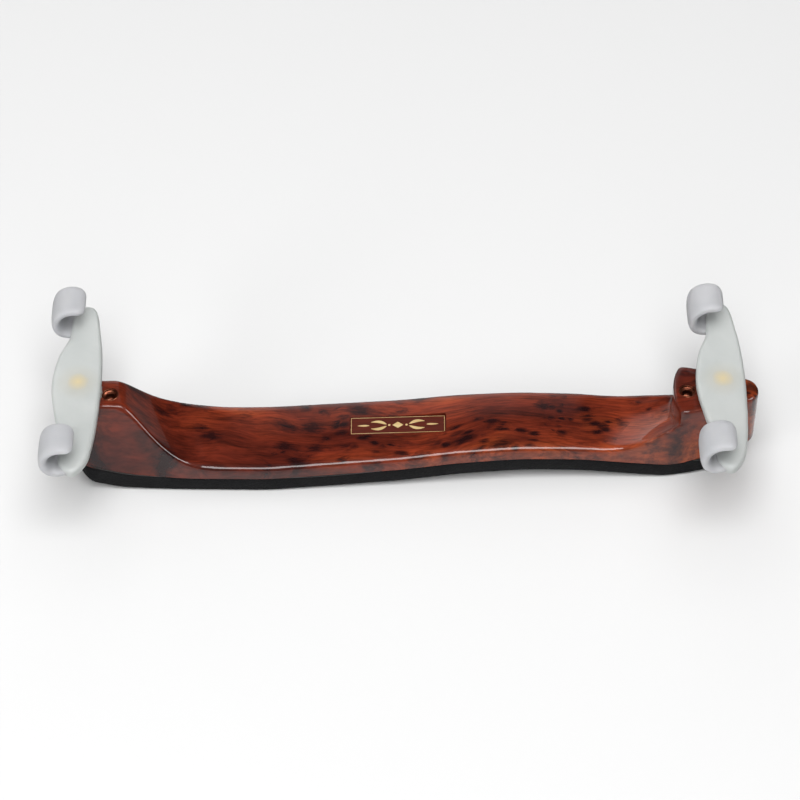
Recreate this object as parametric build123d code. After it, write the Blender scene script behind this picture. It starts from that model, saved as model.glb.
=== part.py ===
from build123d import *
import math
import os

# Violin shoulder rest: a moulded S-shaped body on a foam pad, with a height-adjustable fork at each end.
# Millimetres. +X runs along the body, from the low broad end to the tapered end. +Y points to the back edge.
# +Z is up, from the foam to the forks. The parts are drawn about the body's middle and moved at the end,
# so that the origin is the bottom centre of the whole rest.

# ---- Driving dimensions -------------------------------------------------------------------------------

# Body plate
PLATE_THICKNESS = 4.6        # at the front wall, away from the two ends
BODY_LEFT = -104.0           # left end of the body
EDGE_ROLL = 1.1              # radius of the rolled front and back edges
FOAM_THICKNESS = 6.2
FILM_THICKNESS = 0.3
FOAM_INSET = 0.5             # the foam stops this far inside the body's edge
FOAM_LEFT = -101.5
FOAM_RIGHT = 90.0            # where the foam's rounded right end begins
FOAM_NOSE = 11.0             # how far that end bows out
FOAM_CORNER = 7.0

# Underside of the body (x, height)
UNDERSIDE = [
    (-106.0, 15.5), (-97.0, 9.6), (-87.0, 6.2), (-72.0, 5.1), (-41.0, 5.0), (0.0, 7.0), (17.0, 8.8),
    (34.0, 9.3), (56.0, 8.6), (72.0, 6.5), (86.0, 4.8), (97.0, 5.8), (114.0, 9.6),
]

# Front and back edges of the plate in plan (x, y)
FRONT_EDGE = [
    (-98.0, -35.0), (-66.0, -36.6), (-41.0, -36.8), (0.0, -34.6), (40.0, -32.0), (78.0, -31.4),
    (84.0, -31.2), (90.0, -29.4),
]
BACK_EDGE = [
    (-98.0, -11.5), (-66.0, -10.8), (-41.0, -10.5), (0.0, -9.3), (40.0, -8.0), (76.0, -8.2),
    (84.0, -9.8), (90.0, -12.0),
]

# Left tower
LEFT_TOWER_TOP = 28.5
LEFT_TOWER_FRONT = -26.2     # front edge of its top face
LEFT_TOWER_BACK = -16.8      # back edge of its top face
TOWER_STOCK = 1.6            # the left tower is lofted this much too high, then cut flat

# Right tower: a tapered tear shape in plan
RIGHT_TOWER_TOP = 29.0
TOWER_BROAD_X = 83.8         # the broad end, towards the middle of the body
TOWER_BROAD_BULGE = 1.6      # how far the broad end's wall bows out
TOWER_TIP_X = 105.2          # centre of the tip's round
TOWER_TIP_RADIUS = 4.8
TOWER_Y = -20.4              # the tower's centre line
TOWER_BROAD_HALF = 10.0      # half width at the broad end
TOWER_CORNER = 2.2           # round of the broad end's two corners
TOWER_LIP = 0.9              # round of the top edge

# Threaded brass inserts, two in each tower
THREAD_RADIUS = 2.0          # M4 stand-in: plain cylinders of the nominal diameter
THREAD_PITCH = 0.7
RUNNING_GAP = 0.05           # radial clearance of the stud in its insert and in its wheel
INSERT_WALL = 0.6            # brass outside the thread's nominal radius
INSERT_LENGTH = 11.0
LEFT_SPACING = 9.4           # from the outer insert, under the fork, to the spare inner one
RIGHT_SPACING = 10.5
LEFT_AXIS = (-98.8, -22.2)   # the outer inserts and the feet's screws
RIGHT_AXIS = (98.4, -21.2)
STUD_HOLE_GAP = 0.4          # radial clearance of the hole under each insert
STUD_HOLE_SPARE = 0.8        # and how far it runs on below the stud

# Foot: lock wheel, stud, collar and fork
SEAT_GAP = 0.1               # between the tower, the wheel and the fork
WHEEL_RADIUS = 7.1
WHEEL_THICKNESS = 2.3
WHEEL_TEETH = 28
WHEEL_TOOTH_DEPTH = 0.5
WHEEL_BEVEL = 0.4
STUD_DEPTH = 16.5            # how far the stud reaches below the tower's top
STUD_POINT = 0.5             # chamfer at its lower end
COLLAR_RADIUS = 3.7
COLLAR_THICKNESS = 1.8
COLLAR_COVER = 0.8           # plastic left over the collar
FORK_THICKNESS = 3.6
FORK_EDGE = 0.9              # round of the leaf's top edge
FORK_OUTLINE = [             # the leaf in plan about the screw, from the back end round the convex side
    (3.0, 30.4), (5.6, 19.8), (6.9, 4.8), (6.8, -9.2), (5.9, -22.2), (4.2, -30.7), (0.4, -35.0),
    (-3.8, -32.2), (-4.3, -22.2), (-6.3, -13.2), (-8.1, -1.2), (-6.8, 10.3), (-3.8, 18.8), (-3.4, 25.8),
    (-0.6, 30.8),
]
LEFT_YAW = -0.4
RIGHT_YAW = 0.7

# Claws: curled strips that hook round the edge of a violin
CLAW_THICKNESS = 3.0
CLAW_INNER = 3.1             # inner radius of the low arc
CLAW_UPRIGHT = 1.0           # straight height of the wall between the low arc and the hook
HOOK_INNER = 3.9             # inner radius of the hook
HOOK_TURN = 125.0            # degrees that the hook turns from the top of the wall
CLAW_CENTRE_X = -3.4         # centre of the low arc, across the fork
CLAW_ROOT = 2.0              # how far the strip runs on under the leaf's edge
CLAW_REACH = 2.4             # the claw ends at least this far across the fork
CLAW_WIDTH = 12.0            # along the fork
CLAW_CENTRES_Y = (-29.8, 25.0)   # middle of the front and the rear claw, along the fork
CLAW_CORNER = 4.8            # round of the claw's corners in plan
TONGUE_THICKNESS = 1.2       # the fork's rigid core inside each claw
TONGUE_WIDTH = 7.0
TONGUE_TURN = 60.0

# Emblem plate
EMBLEM_LENGTH = 30.0
EMBLEM_WIDTH = 7.2
EMBLEM_THICKNESS = 0.35
EMBLEM_CORNER = 0.8
EMBLEM_CENTRE = (-1.0, -20.6)
EMBLEM_TILT = 2.6            # degrees: follows the rise of the plate
EMBLEM_GAP = 0.1             # between its edge and its recess

# How far each top edge of the body has climbed from the plate (0) to a tower's top (1), at each x
FRONT_CLIMB = [
    (-106.0, 1.0), (-86.5, 1.0), (-83.5, 0.92), (-80.0, 0.72), (-75.5, 0.45), (-70.0, 0.19), (-64.0, 0.04),
    (-58.0, 0.0), (60.0, 0.0), (66.0, 0.05), (72.0, 0.19), (78.0, 0.43), (84.0, 0.74), (90.0, 0.9),
]
BACK_CLIMB = [
    (-106.0, 1.0), (-87.5, 1.0), (-84.5, 0.82), (-80.0, 0.50), (-75.5, 0.27), (-70.0, 0.13), (-62.0, 0.05),
    (-54.0, 0.0), (62.0, 0.0), (70.0, 0.04), (78.0, 0.15), (84.0, 0.28), (90.0, 0.42),
]
# How far the top edges have drawn in from the plate's edges (0) to the left tower's narrow top (1)
FRONT_DRAW = [
    (-106.0, 1.0), (-87.0, 1.0), (-84.0, 0.88), (-80.0, 0.58), (-76.0, 0.31), (-70.0, 0.06), (-65.0, 0.0),
]
BACK_DRAW = [(-106.0, 1.0), (-89.0, 1.0), (-84.0, 0.70), (-78.0, 0.24), (-72.0, 0.0)]
# How deep the top is dished between its two edges, at each x
DISH = [
    (-106.0, 0.0), (-87.0, 0.0), (-82.0, 2.0), (-76.0, 2.4), (-70.0, 1.2), (-60.0, 0.0), (-20.0, -0.3),
    (58.0, -0.3), (66.0, 0.3), (74.0, 1.8), (80.0, 3.0), (86.0, 3.2), (90.0, 3.2),
]
STATIONS = 30                # cross-sections that the body is lofted through
PLATE_RIGHT = 89.0           # the plate runs on to here, inside the right tower
OUTLINE_STATIONS = 9         # places along each long edge of the foam

# ---- Derived values -----------------------------------------------------------------------------------

FORK_BASE = WHEEL_THICKNESS + 2 * SEAT_GAP     # underside of the fork above the tower's top
INSERT_RADIUS = THREAD_RADIUS + INSERT_WALL
TOOL_MARGIN = 20.0                             # how far cutting tools run past what they cut


def smooth(points, x):
    """Value at x of a curve through (x, value) points that never overshoots them; flat past its ends."""
    if x <= points[0][0]:
        return points[0][1]
    if x >= points[-1][0]:
        return points[-1][1]
    steps = [(b[1] - a[1]) / (b[0] - a[0]) for a, b in zip(points, points[1:])]
    slopes = [steps[0]]
    for left, right in zip(steps, steps[1:]):
        slopes.append(0.0 if left * right <= 0 else 2 * left * right / (left + right))
    slopes.append(steps[-1])
    i = max(k for k in range(len(points) - 1) if points[k][0] <= x)
    span = points[i + 1][0] - points[i][0]
    t = (x - points[i][0]) / span
    return (
        points[i][1] * (1 + 2 * t) * (1 - t) ** 2 + span * slopes[i] * t * (1 - t) ** 2
        + points[i + 1][1] * t * t * (3 - 2 * t) - span * slopes[i + 1] * t * t * (1 - t)
    )


# ---- Body ---------------------------------------------------------------------------------------------

def plate_top(x):
    """Height of the plain plate's top."""
    return smooth(UNDERSIDE, x) + PLATE_THICKNESS


def body_section(x):
    """One cross-section of the body, drawn deeper than the underside, which is cut afterwards."""
    front = smooth(FRONT_EDGE, x)
    back = smooth(BACK_EDGE, x)
    tower = LEFT_TOWER_TOP + TOWER_STOCK if x < 0 else RIGHT_TOWER_TOP
    rise = tower - plate_top(x)
    floor = smooth(UNDERSIDE, x) - FOAM_THICKNESS
    ridge = (
        front + (LEFT_TOWER_FRONT - front) * smooth(FRONT_DRAW, x),
        plate_top(x) + rise * smooth(FRONT_CLIMB, x),
    )
    back_top = (
        back + (LEFT_TOWER_BACK - back) * smooth(BACK_DRAW, x),
        plate_top(x) + rise * smooth(BACK_CLIMB, x),
    )
    bow = (
        (ridge[0] + back_top[0]) / 2,
        (ridge[1] + back_top[1]) / 2 - 2 * smooth(DISH, x),
    )
    back_roll = (along(back_top, (back, floor)), along(back_top, bow))
    front_roll = (along(ridge, bow), along(ridge, (front, floor)))
    with BuildSketch(Plane(origin=(x, 0, 0), x_dir=(0, 1, 0), z_dir=(1, 0, 0))) as sketch:
        with BuildLine():
            Line((front, floor), (back, floor))
            Line((back, floor), back_roll[0])
            Bezier(back_roll[0], back_top, back_roll[1])
            Bezier(back_roll[1], bow, front_roll[0])
            Bezier(front_roll[0], ridge, front_roll[1])
            Line(front_roll[1], (front, floor))
        make_face()
    return sketch.sketch.faces()[0]


def along(start, towards):
    """The place one edge roll away from a corner, on the way to another place."""
    share = EDGE_ROLL / math.dist(start, towards)
    return tuple(a + (b - a) * share for a, b in zip(start, towards))


def make_plate():
    """The S-shaped plate with the left tower and both ramps."""
    step = (PLATE_RIGHT - BODY_LEFT) / (STATIONS - 1)
    return loft([body_section(BODY_LEFT + step * i) for i in range(STATIONS)])


def tower_outline():
    """Tear-shaped outline of the right tower, with its broad end towards the middle."""
    run = TOWER_TIP_X - TOWER_BROAD_X
    half = math.atan2(TOWER_BROAD_HALF - TOWER_TIP_RADIUS, run)
    touch_x = TOWER_TIP_X + TOWER_TIP_RADIUS * math.sin(half)
    touch_y = TOWER_TIP_RADIUS * math.cos(half)
    corner_x = TOWER_BROAD_X + TOWER_BROAD_BULGE
    with BuildSketch() as sketch:
        with BuildLine():
            Line((corner_x, TOWER_Y + TOWER_BROAD_HALF), (touch_x, TOWER_Y + touch_y))
            ThreePointArc(
                (touch_x, TOWER_Y + touch_y), (TOWER_TIP_X + TOWER_TIP_RADIUS, TOWER_Y),
                (touch_x, TOWER_Y - touch_y),
            )
            Line((touch_x, TOWER_Y - touch_y), (corner_x, TOWER_Y - TOWER_BROAD_HALF))
            ThreePointArc(
                (corner_x, TOWER_Y - TOWER_BROAD_HALF), (TOWER_BROAD_X, TOWER_Y),
                (corner_x, TOWER_Y + TOWER_BROAD_HALF),
            )
        make_face()
        corners = sketch.vertices().sort_by(Axis.X)[:2]
        fillet(corners, TOWER_CORNER)
    return sketch.sketch


def make_right_tower():
    """The tear-shaped tower, with a rounded lip round its top face."""
    tower = extrude(tower_outline(), RIGHT_TOWER_TOP)
    return fillet(tower.faces().sort_by(Axis.Z)[-1].edges(), TOWER_LIP)


def under_slab(top_drop, bottom_drop):
    """The slab between two copies of the underside curve, each lowered by its drop."""
    upper = [(x, z - top_drop) for x, z in UNDERSIDE]
    lower = [(x, z - bottom_drop) for x, z in UNDERSIDE]
    plane = Plane(origin=(0, TOOL_MARGIN, 0), x_dir=(1, 0, 0), z_dir=(0, -1, 0))
    with BuildSketch(plane) as sketch:
        with BuildLine():
            Spline(*upper)
            Line(upper[-1], lower[-1])
            Spline(*reversed(lower))
            Line(lower[0], upper[0])
        make_face()
    return extrude(sketch.sketch, 4 * TOOL_MARGIN)


def hole(axis, top, depth, radius):
    """A cylinder from a height down by a depth, on an (x, y) axis."""
    return Pos(axis[0], axis[1], top - depth / 2) * Cylinder(radius, depth)


def insert_places():
    """Name, axis and top height of each insert."""
    inner_left = (LEFT_AXIS[0] + LEFT_SPACING, LEFT_AXIS[1])
    inner_right = (RIGHT_AXIS[0] - RIGHT_SPACING, RIGHT_AXIS[1])
    return [
        ("left_outer", LEFT_AXIS, LEFT_TOWER_TOP),
        ("left_inner", inner_left, LEFT_TOWER_TOP),
        ("right_inner", inner_right, RIGHT_TOWER_TOP),
        ("right_outer", RIGHT_AXIS, RIGHT_TOWER_TOP),
    ]


def emblem_place():
    """Where the emblem plate lies: the centre of its lower face, tilted with the plate."""
    x, y = EMBLEM_CENTRE
    return Pos(x, y, plate_top(x)) * Rot(0, -EMBLEM_TILT, 0)


def make_body():
    """The moulded body, with its bores and the emblem's recess."""
    body = make_plate() + make_right_tower()
    body -= under_slab(0.0, 3 * TOOL_MARGIN)
    above = Box(4 * TOOL_MARGIN, 4 * TOOL_MARGIN, TOOL_MARGIN, align=(Align.CENTER, Align.CENTER, Align.MIN))
    body -= Pos(LEFT_AXIS[0], LEFT_AXIS[1], LEFT_TOWER_TOP) * above
    for _, axis, top in insert_places():
        body -= hole(axis, top, INSERT_LENGTH, INSERT_RADIUS)
    for axis, top in ((LEFT_AXIS, LEFT_TOWER_TOP), (RIGHT_AXIS, RIGHT_TOWER_TOP)):
        body -= hole(axis, top, STUD_DEPTH + STUD_HOLE_SPARE, THREAD_RADIUS + STUD_HOLE_GAP)
    cutter = Box(
        EMBLEM_LENGTH + 2 * EMBLEM_GAP, EMBLEM_WIDTH + 2 * EMBLEM_GAP, TOOL_MARGIN,
        align=(Align.CENTER, Align.CENTER, Align.MIN),
    )
    body -= emblem_place() * cutter
    return body


# ---- Foam pad, its adhesive film and the emblem plate -------------------------------------------------

def foam_outline():
    """Plan of the foam: the body's edges drawn in, with a round at each end."""
    step = (FOAM_RIGHT - FOAM_LEFT) / (OUTLINE_STATIONS - 1)
    xs = [FOAM_LEFT + step * i for i in range(OUTLINE_STATIONS)]
    front = [(x, smooth(FRONT_EDGE, x) + FOAM_INSET) for x in xs]
    back = [(x, smooth(BACK_EDGE, x) - FOAM_INSET) for x in xs]
    with BuildSketch() as sketch:
        with BuildLine():
            Spline(*front)
            ThreePointArc(front[-1], (FOAM_RIGHT + FOAM_NOSE, TOWER_Y), back[-1])
            Spline(*reversed(back))
            Line(back[0], front[0])
        make_face()
        fillet(sketch.vertices().sort_by(Axis.X)[:2], FOAM_CORNER)
    return sketch.sketch


def make_under_layer(top_drop, bottom_drop):
    """A layer that follows the underside between two depths below it."""
    prism = Pos(0, 0, -TOOL_MARGIN) * extrude(foam_outline(), 4 * TOOL_MARGIN)
    return prism & under_slab(top_drop, bottom_drop)


def make_emblem_plate():
    """A thin plain plate with rounded corners, in its shallow recess."""
    plate = Box(EMBLEM_LENGTH, EMBLEM_WIDTH, EMBLEM_THICKNESS, align=(Align.CENTER, Align.CENTER, Align.MIN))
    plate = fillet(plate.edges().filter_by(Axis.Z), EMBLEM_CORNER)
    return emblem_place() * plate


# ---- Inserts ------------------------------------------------------------------------------------------

def make_insert(axis, top):
    """A brass tube that is threaded inside, flush with the tower's top."""
    outer = hole(axis, top, INSERT_LENGTH, INSERT_RADIUS)
    return outer - hole(axis, top, INSERT_LENGTH, THREAD_RADIUS + RUNNING_GAP)


# ---- Feet: drawn with the screw's axis at the origin and the tower's top at height 0 ------------------

def make_wheel():
    """The toothed lock wheel between the tower and the fork."""
    wheel = Cylinder(WHEEL_RADIUS, WHEEL_THICKNESS, align=(Align.CENTER, Align.CENTER, Align.MIN))
    wheel = chamfer(wheel.edges(), WHEEL_BEVEL)
    groove = Cylinder(WHEEL_TOOTH_DEPTH, 3 * WHEEL_THICKNESS)
    wheel -= [loc * groove for loc in PolarLocations(WHEEL_RADIUS, WHEEL_TEETH)]
    wheel -= Cylinder(THREAD_RADIUS + RUNNING_GAP, 3 * WHEEL_THICKNESS)
    return Pos(0, 0, SEAT_GAP) * wheel


def make_stud():
    """The threaded stud, from inside the fork's collar down into the insert."""
    top = FORK_BASE + FORK_THICKNESS - COLLAR_COVER
    length = top + STUD_DEPTH
    stud = Pos(0, 0, top - length / 2) * Cylinder(THREAD_RADIUS, length)
    return chamfer(stud.edges().sort_by(Axis.Z)[0], STUD_POINT)


def make_collar():
    """The brass collar that is moulded into the fork and holds the stud."""
    top = FORK_BASE + FORK_THICKNESS - COLLAR_COVER
    collar = Pos(0, 0, top - COLLAR_THICKNESS / 2) * Cylinder(COLLAR_RADIUS, COLLAR_THICKNESS)
    return collar - Pos(0, 0, top) * Cylinder(THREAD_RADIUS, 4 * COLLAR_THICKNESS)


def claw_section(thickness, turn):
    """Section of a curl across the fork: a low arc, an upright wall and a hook over the gap."""
    radius = CLAW_INNER + CLAW_THICKNESS / 2
    low = CLAW_INNER + CLAW_THICKNESS
    high = low + CLAW_UPRIGHT
    wall_x = CLAW_CENTRE_X - radius
    bend = math.sqrt(0.5) * radius
    with BuildSketch(Plane.XZ) as sketch:
        with BuildLine():
            Line((CLAW_CENTRE_X + CLAW_ROOT, low - radius), (CLAW_CENTRE_X, low - radius))
            ThreePointArc(
                (CLAW_CENTRE_X, low - radius), (CLAW_CENTRE_X - bend, low - bend), (wall_x, low)
            )
            Line((wall_x, low), (wall_x, high))
            ThreePointArc((wall_x, high), hook_point(wall_x, high, turn / 2), hook_point(wall_x, high, turn))
            offset(amount=thickness / 2, side=Side.BOTH)
        make_face()
    return sketch.sketch


def hook_point(wall_x, high, turn):
    """A point on the hook's middle line, some degrees round from the top of the wall."""
    radius = HOOK_INNER + CLAW_THICKNESS / 2
    angle = math.radians(turn)
    return wall_x + radius * (1 - math.cos(angle)), high + radius * math.sin(angle)


def claw_prism(thickness, turn, width, centre_y):
    """A curl of one section, extruded along the fork about its middle."""
    return Pos(0, centre_y, FORK_BASE) * extrude(claw_section(thickness, turn), width / 2, both=True)


def make_claw(centre_y):
    """One soft claw with rounded corners, before the fork's core is taken out of it."""
    left = CLAW_CENTRE_X - CLAW_INNER - CLAW_THICKNESS
    middle = (left + CLAW_REACH) / 2
    plan = Pos(middle, centre_y) * RectangleRounded(CLAW_REACH - left, CLAW_WIDTH, CLAW_CORNER)
    return claw_prism(CLAW_THICKNESS, HOOK_TURN, CLAW_WIDTH, centre_y) & extrude(plan, TOOL_MARGIN * 2)


def make_fork():
    """The rigid fork: a leaf-shaped plate with a thin core curling up inside each claw."""
    with BuildSketch() as sketch:
        with BuildLine():
            Spline(*FORK_OUTLINE, periodic=True)
        make_face()
    leaf = extrude(sketch.sketch, FORK_THICKNESS)
    leaf = Pos(0, 0, FORK_BASE) * fillet(leaf.edges().group_by(Axis.Z)[-1], FORK_EDGE)
    for centre_y in CLAW_CENTRES_Y:
        leaf += claw_prism(TONGUE_THICKNESS, TONGUE_TURN, TONGUE_WIDTH, centre_y)
    leaf -= make_collar()
    return leaf - make_stud()


def make_foot(name):
    """The nodes of one foot by name; the left and right feet are the same parts."""
    fork = make_fork()
    front, rear = (make_claw(centre_y) - fork for centre_y in CLAW_CENTRES_Y)
    return {
        name + "_lock_wheel": make_wheel(),
        name + "_stud": make_stud(),
        name + "_collar": make_collar(),
        name + "_fork": fork,
        name + "_front_claw": front,
        name + "_rear_claw": rear,
    }


# ---- The whole rest -----------------------------------------------------------------------------------

def make_rest():
    """Every node by name, about the body's middle."""
    nodes = {
        "body": make_body(),
        "pad_adhesive": make_under_layer(0.0, FILM_THICKNESS),
        "foam_pad": make_under_layer(FILM_THICKNESS, FILM_THICKNESS + FOAM_THICKNESS),
        "emblem_plate": make_emblem_plate(),
    }
    for name, axis, top in insert_places():
        nodes["insert_" + name] = make_insert(axis, top)
    for name, axis, top, yaw in (
        ("left", LEFT_AXIS, LEFT_TOWER_TOP, LEFT_YAW),
        ("right", RIGHT_AXIS, RIGHT_TOWER_TOP, RIGHT_YAW),
    ):
        place = Pos(axis[0], axis[1], top) * Rot(0, 0, yaw)
        for node, shape in make_foot(name).items():
            nodes[node] = place * shape
    return nodes


def bottom_centre(nodes):
    """The bottom centre of the box round all the nodes."""
    boxes = [shape.bounding_box() for shape in nodes.values()]
    x = (min(box.min.X for box in boxes) + max(box.max.X for box in boxes)) / 2
    y = (min(box.min.Y for box in boxes) + max(box.max.Y for box in boxes)) / 2
    return Vector(x, y, min(box.min.Z for box in boxes))


if __name__ == "__main__":
    os.makedirs("parts", exist_ok=True)
    rest = make_rest()
    centre = bottom_centre(rest)
    print("origin shift", centre)
    for node, shape in rest.items():
        export_step(Pos(-centre.X, -centre.Y, -centre.Z) * shape, "parts/" + node + ".step")
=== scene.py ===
import math

import bmesh
import bpy
import numpy as np
from mathutils import Matrix, Vector


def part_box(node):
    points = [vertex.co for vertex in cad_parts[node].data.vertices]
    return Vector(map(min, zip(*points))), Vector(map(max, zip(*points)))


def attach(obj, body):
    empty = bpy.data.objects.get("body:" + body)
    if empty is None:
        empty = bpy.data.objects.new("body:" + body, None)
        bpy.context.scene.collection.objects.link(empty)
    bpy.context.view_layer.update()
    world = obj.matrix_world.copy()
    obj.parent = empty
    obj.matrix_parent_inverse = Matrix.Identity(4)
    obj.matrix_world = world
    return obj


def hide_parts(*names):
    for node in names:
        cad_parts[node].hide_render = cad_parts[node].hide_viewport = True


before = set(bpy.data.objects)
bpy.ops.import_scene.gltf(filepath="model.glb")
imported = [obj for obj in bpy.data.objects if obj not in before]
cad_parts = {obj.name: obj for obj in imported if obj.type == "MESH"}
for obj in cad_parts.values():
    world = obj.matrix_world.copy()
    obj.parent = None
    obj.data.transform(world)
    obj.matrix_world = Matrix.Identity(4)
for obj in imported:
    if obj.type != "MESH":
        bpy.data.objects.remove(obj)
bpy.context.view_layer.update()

# Violin shoulder rest: the visible pieces round the CAD frame. Values named here are in millimetres, as on
# the drawing, and MM turns them into metres. The drawing's zero lies at the middle of the body.

MM = 0.001
BODY_LEFT = -104.0
PLATE_RIGHT = 89.0
PLATE_THICKNESS = 4.6
FOAM_THICKNESS = 6.2
FILM_THICKNESS = 0.3
FOAM_INSET = 0.5
FOAM_LEFT = -101.5
FOAM_RIGHT = 90.0
FOAM_NOSE = 11.0
FOAM_CORNER = 7.0
EDGE_ROLL = 2.0

UNDERSIDE = [
    (-112.0, 19.5), (-106.0, 15.5), (-97.0, 8.5), (-87.0, 5.6), (-72.0, 5.1), (-41.0, 5.0), (0.0, 7.0),
    (17.0, 8.8), (34.0, 9.3), (56.0, 8.6), (72.0, 6.5), (86.0, 4.8), (97.0, 5.8), (114.0, 9.6), (120.0, 11.0),
]
FRONT_EDGE = [
    (-98.0, -36.0), (-66.0, -36.6), (-41.0, -36.8), (0.0, -34.6), (40.0, -32.0), (78.0, -31.4),
    (84.0, -31.2), (90.0, -29.4),
]
BACK_EDGE = [
    (-98.0, -11.5), (-66.0, -10.8), (-41.0, -10.5), (0.0, -9.3), (40.0, -8.0), (76.0, -8.2),
    (84.0, -9.8), (90.0, -12.0),
]
LEFT_TOWER_TOP = 28.5
LEFT_AXIS_Y = -22.2
LEFT_TOWER_FRONT = -26.2
LEFT_TOWER_BACK = -16.8
TOWER_STOCK = 1.6
RIGHT_TOWER_TOP = 29.0
FRONT_CLIMB = [
    (-106.0, 1.0), (-87.5, 1.0), (-84.5, 0.93), (-80.0, 0.71), (-75.0, 0.46), (-70.0, 0.23), (-65.0, 0.07),
    (-59.0, 0.0), (60.0, 0.0), (66.0, 0.05), (72.0, 0.19), (78.0, 0.43), (84.0, 0.74), (90.0, 0.9),
]
BACK_CLIMB = [
    (-106.0, 1.0), (-87.5, 1.0), (-84.5, 0.82), (-80.0, 0.50), (-75.5, 0.27), (-70.0, 0.13), (-62.0, 0.05),
    (-54.0, 0.0), (62.0, 0.0), (70.0, 0.04), (78.0, 0.15), (84.0, 0.28), (90.0, 0.42),
]
FRONT_DRAW = [
    (-106.0, 1.0), (-87.0, 1.0), (-84.0, 0.88), (-80.0, 0.58), (-76.0, 0.31), (-70.0, 0.06), (-65.0, 0.0),
    (0.0, 0.0),
]
BACK_DRAW = [(-106.0, 1.0), (-89.0, 1.0), (-84.0, 0.70), (-78.0, 0.24), (-72.0, 0.0), (0.0, 0.0)]
DISH = [
    (-106.0, 0.0), (-87.0, 0.0), (-82.0, 0.5), (-76.0, 1.1), (-70.0, 0.9), (-60.0, 0.0), (-20.0, -0.3),
    (58.0, -0.3), (66.0, 0.3), (74.0, 1.8), (80.0, 3.0), (86.0, 3.2), (90.0, 3.2),
]
CURVE_SOFTNESS = 2.6         # how softly the body's curves round their points
UNDER_STOCK = 3.0            # the body is built this much too deep, then cut along its underside
STATION_STEP = 0.6           # between the plate's cross-sections
END_ROUND = 5.0              # how far the left end's rounding reaches
END_DRAW = 0.3               # and how much of the width it takes
SKIN_VOXEL = 0.5             # of the remesh that melts plate and tower into one skin
SKIN_SOFTENING = 7
TOWER_LIP = 1.0

TOWER_BROAD_X = 83.8
TOWER_BROAD_BULGE = 1.6
TOWER_TIP_X = 105.2
TOWER_TIP_RADIUS = 4.8
TOWER_Y = -20.4
TOWER_BROAD_HALF = 10.0
TOWER_CORNER = 2.2

INSERT_RADIUS = 2.6
THREAD_RADIUS = 2.0
THREAD_PITCH = 0.7

FORK_THICKNESS = 3.6
FORK_OUTLINE = [
    (3.0, 30.4), (5.6, 19.8), (6.9, 4.8), (6.8, -9.2), (5.9, -22.2), (4.2, -30.7), (0.4, -35.0),
    (-3.8, -32.2), (-4.3, -22.2), (-6.3, -13.2), (-8.1, -1.2), (-6.8, 10.3), (-3.8, 18.8), (-3.4, 25.8),
    (-0.6, 30.8),
]
CLAW_INNER = 3.1
CLAW_THICKNESS = 3.0
CLAW_UPRIGHT = 1.0
HOOK_INNER = 3.9
HOOK_TURN = 125.0
CLAW_CENTRE_X = -3.4
CLAW_WIDTH = 12.0
CLAW_CENTRES_Y = (-29.8, 25.0)
CORE_WIDTH = 7.0
CORE_THICKNESS = 1.1
MOULD_MARK = (0.3, -19.0)    # from the screw's axis
WHEEL_RADIUS = 7.1
WHEEL_THICKNESS = 2.3
WHEEL_TEETH = 28
EMBLEM_LENGTH = 30.0
EMBLEM_WIDTH = 7.2
EMBLEM_THICKNESS = 0.35
EMBLEM_TILT = 2.6
EMBLEM_CORNER = 0.8
EMBLEM_GAP = 0.1
ORNAMENT_SUNK = 0.1
ORNAMENT_PROUD = 0.03
FEET = (("left", -0.4), ("right", 0.7))      # name and yaw in degrees

# ---- Where the drawing lies in the frame ----------------------------------------------------------------

body_low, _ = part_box("body")
left_insert_low, left_insert_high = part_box("insert_left_outer")
DRAWING_ZERO = Vector((
    body_low.x - BODY_LEFT * MM,
    (left_insert_low.y + left_insert_high.y) / 2 - LEFT_AXIS_Y * MM,
    left_insert_high.z - LEFT_TOWER_TOP * MM,
))


def placed(points):
    """Drawing points in millimetres, as an array of frame points in metres."""
    return np.asarray(points, float) * MM + np.array(DRAWING_ZERO)


def flow(points, xs):
    """Values at xs of a soft curve near a list of (x, value) points."""
    step = 0.25
    fine = np.arange(points[0][0] - 15, points[-1][0] + 15, step)
    values = np.interp(fine, *zip(*points))
    reach = np.arange(-3 * CURVE_SOFTNESS, 3 * CURVE_SOFTNESS + step, step)
    weights = np.exp(-0.5 * (reach / CURVE_SOFTNESS) ** 2)
    half = len(reach) // 2
    values = np.pad(values, (half, len(reach) - 1 - half), mode="edge")
    return np.interp(xs, fine, np.convolve(values, weights / weights.sum(), mode="valid"))


def box_middle(node):
    """The middle of a drawing piece's box."""
    low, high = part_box(node)
    return (low + high) / 2


# ---- Mesh helpers -----------------------------------------------------------------------------------------

def mesh_piece(name, points, faces, material):
    """A new object in the frame's coordinates from points in metres and faces."""
    mesh = bpy.data.meshes.new(name)
    mesh.from_pydata([tuple(p) for p in points], [], [tuple(int(i) for i in f) for f in faces])
    mesh.materials.append(material)
    mesh.shade_smooth()
    piece = bpy.data.objects.new(name, mesh)
    bpy.context.scene.collection.objects.link(piece)
    return piece


def tube_faces(rings, ring_size, closed_ends=True):
    """Faces of a tube of equal rings, ring after ring, with an n-gon at each end."""
    faces = []
    for r in range(rings - 1):
        for i in range(ring_size):
            j = (i + 1) % ring_size
            a, b = r * ring_size, (r + 1) * ring_size
            faces.append((a + i, a + j, b + j, b + i))
    if closed_ends:
        faces.append(tuple(range(ring_size))[::-1])
        faces.append(tuple(range((rings - 1) * ring_size, rings * ring_size)))
    return faces


def baked(piece):
    """Applies the piece's modifiers and keeps its first material."""
    graph = bpy.context.evaluated_depsgraph_get()
    material = piece.data.materials[0]
    mesh = bpy.data.meshes.new_from_object(piece.evaluated_get(graph))
    piece.modifiers.clear()
    piece.data = mesh
    if not mesh.materials:
        mesh.materials.append(material)
    return piece


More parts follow.
